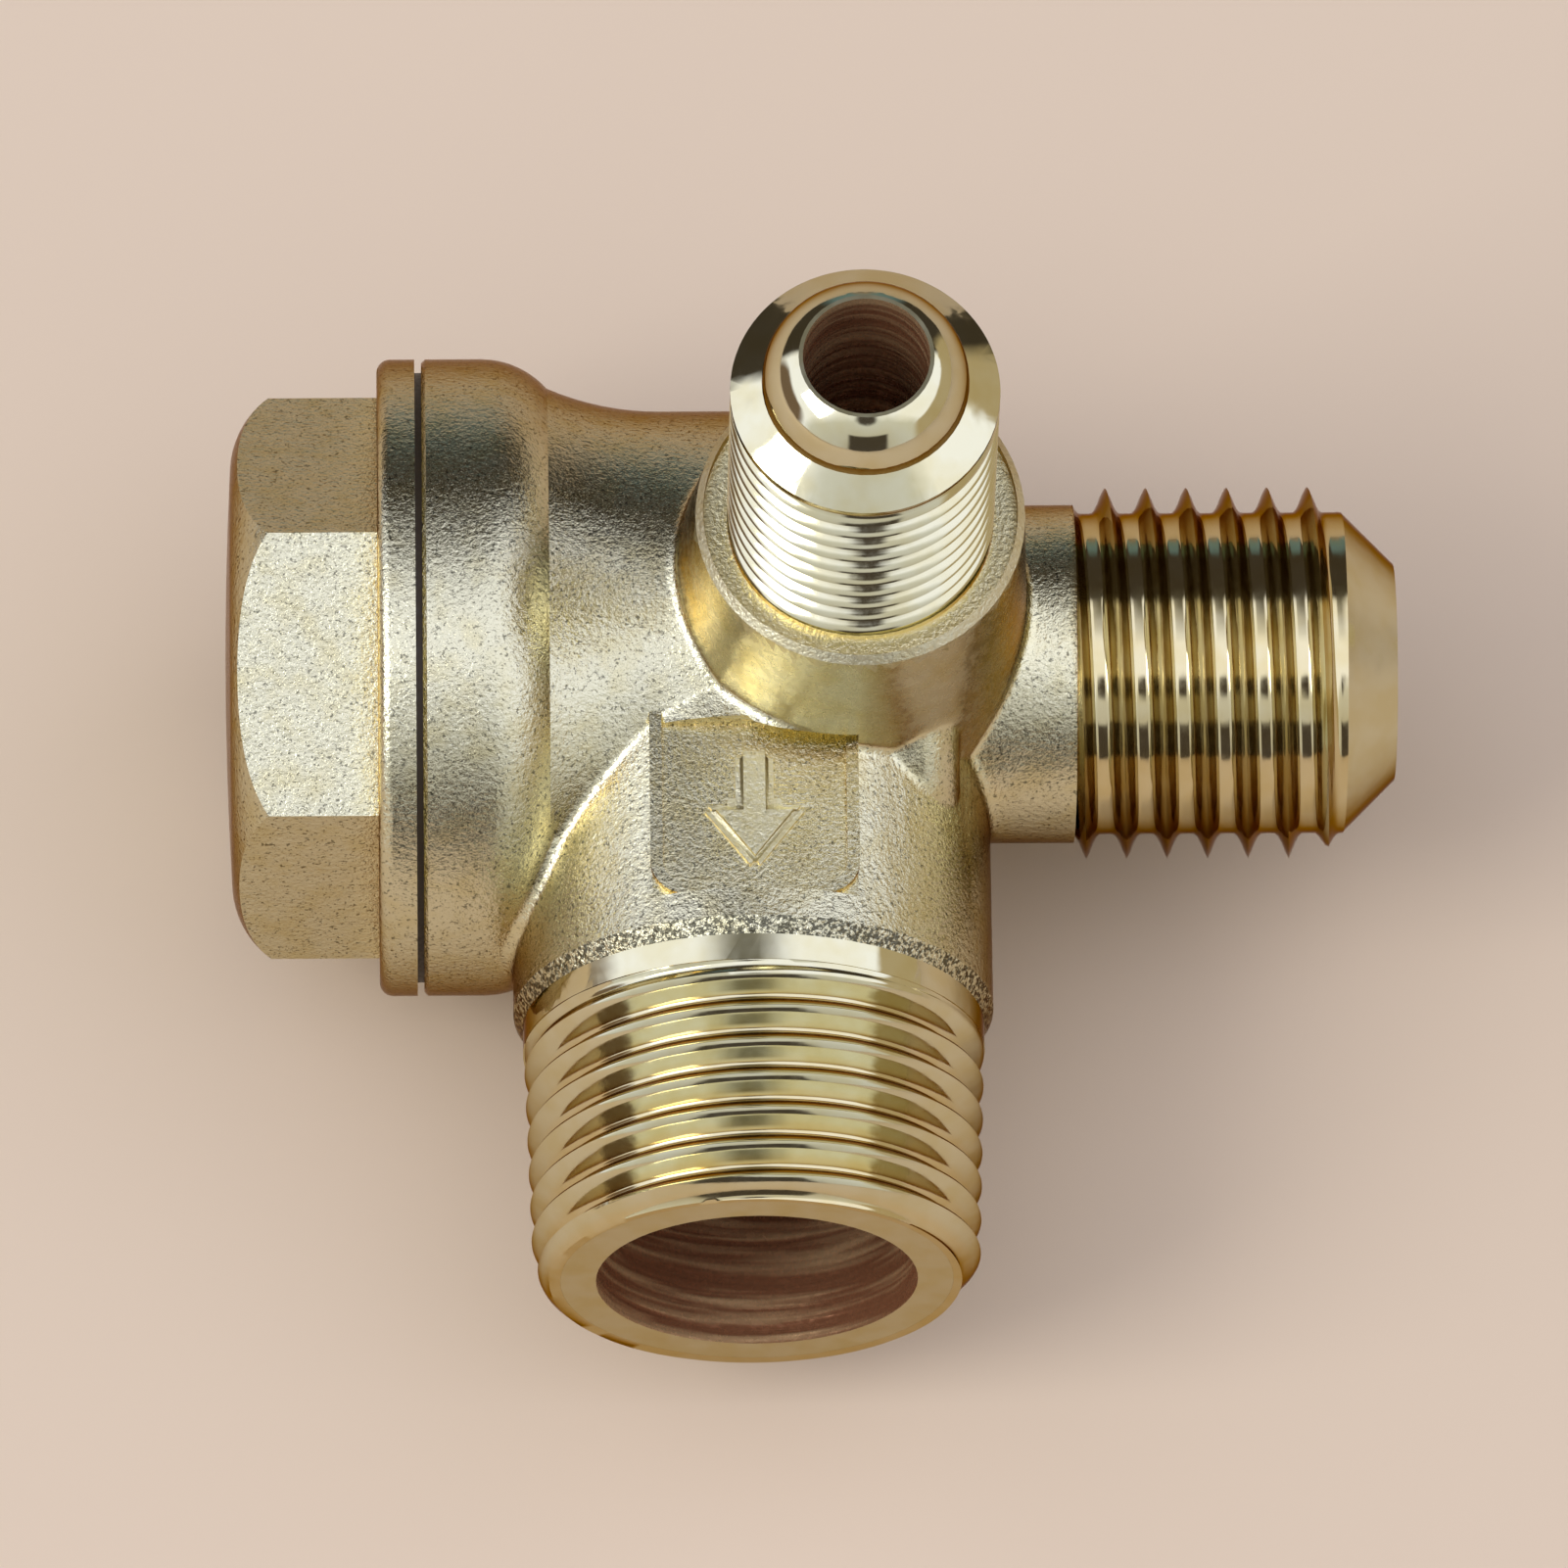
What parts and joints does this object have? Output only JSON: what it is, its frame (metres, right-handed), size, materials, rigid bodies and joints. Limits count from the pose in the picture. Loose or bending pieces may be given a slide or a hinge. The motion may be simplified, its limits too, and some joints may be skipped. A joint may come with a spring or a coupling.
{
  "type": "non-return valve",
  "caption": "Three-port right-angle non-return valve in plated brass, with hexagonal screw cap, spring-loaded poppet and threaded inlet, tank and unloader ports.",
  "frame": {"origin": "centre of the tank port's end face", "axes": "tank port points along -Y, compressor inlet along +X, unloader spigot along +Z"},
  "size_m": [0.0433, 0.0362, 0.039],
  "materials": {
    "cast_brass": "pale gold plated casting with machined ports",
    "cap_brass": "pale gold plated casting",
    "gasket_rubber": "matt",
    "turned_brass": "turned",
    "seal_rubber": "matt",
    "spring_steel": "drawn wire"
  },
  "bodies": {
    "housing": {"valve_body": "cast_brass", "end_cap": "cap_brass", "cap_gasket": "gasket_rubber", "spring": "spring_steel"},
    "poppet": {"poppet": "turned_brass", "poppet_seal": "seal_rubber"}
  },
  "joints": [
    {"name": "poppet_slide", "type": "slide", "parent": "housing", "child": "poppet", "axis": [-1, 0, 0], "range_m": [0, 0.003], "stiffness_N_per_m": 150, "springref_m": -0.004, "deforming": ["spring"]}
  ]
}
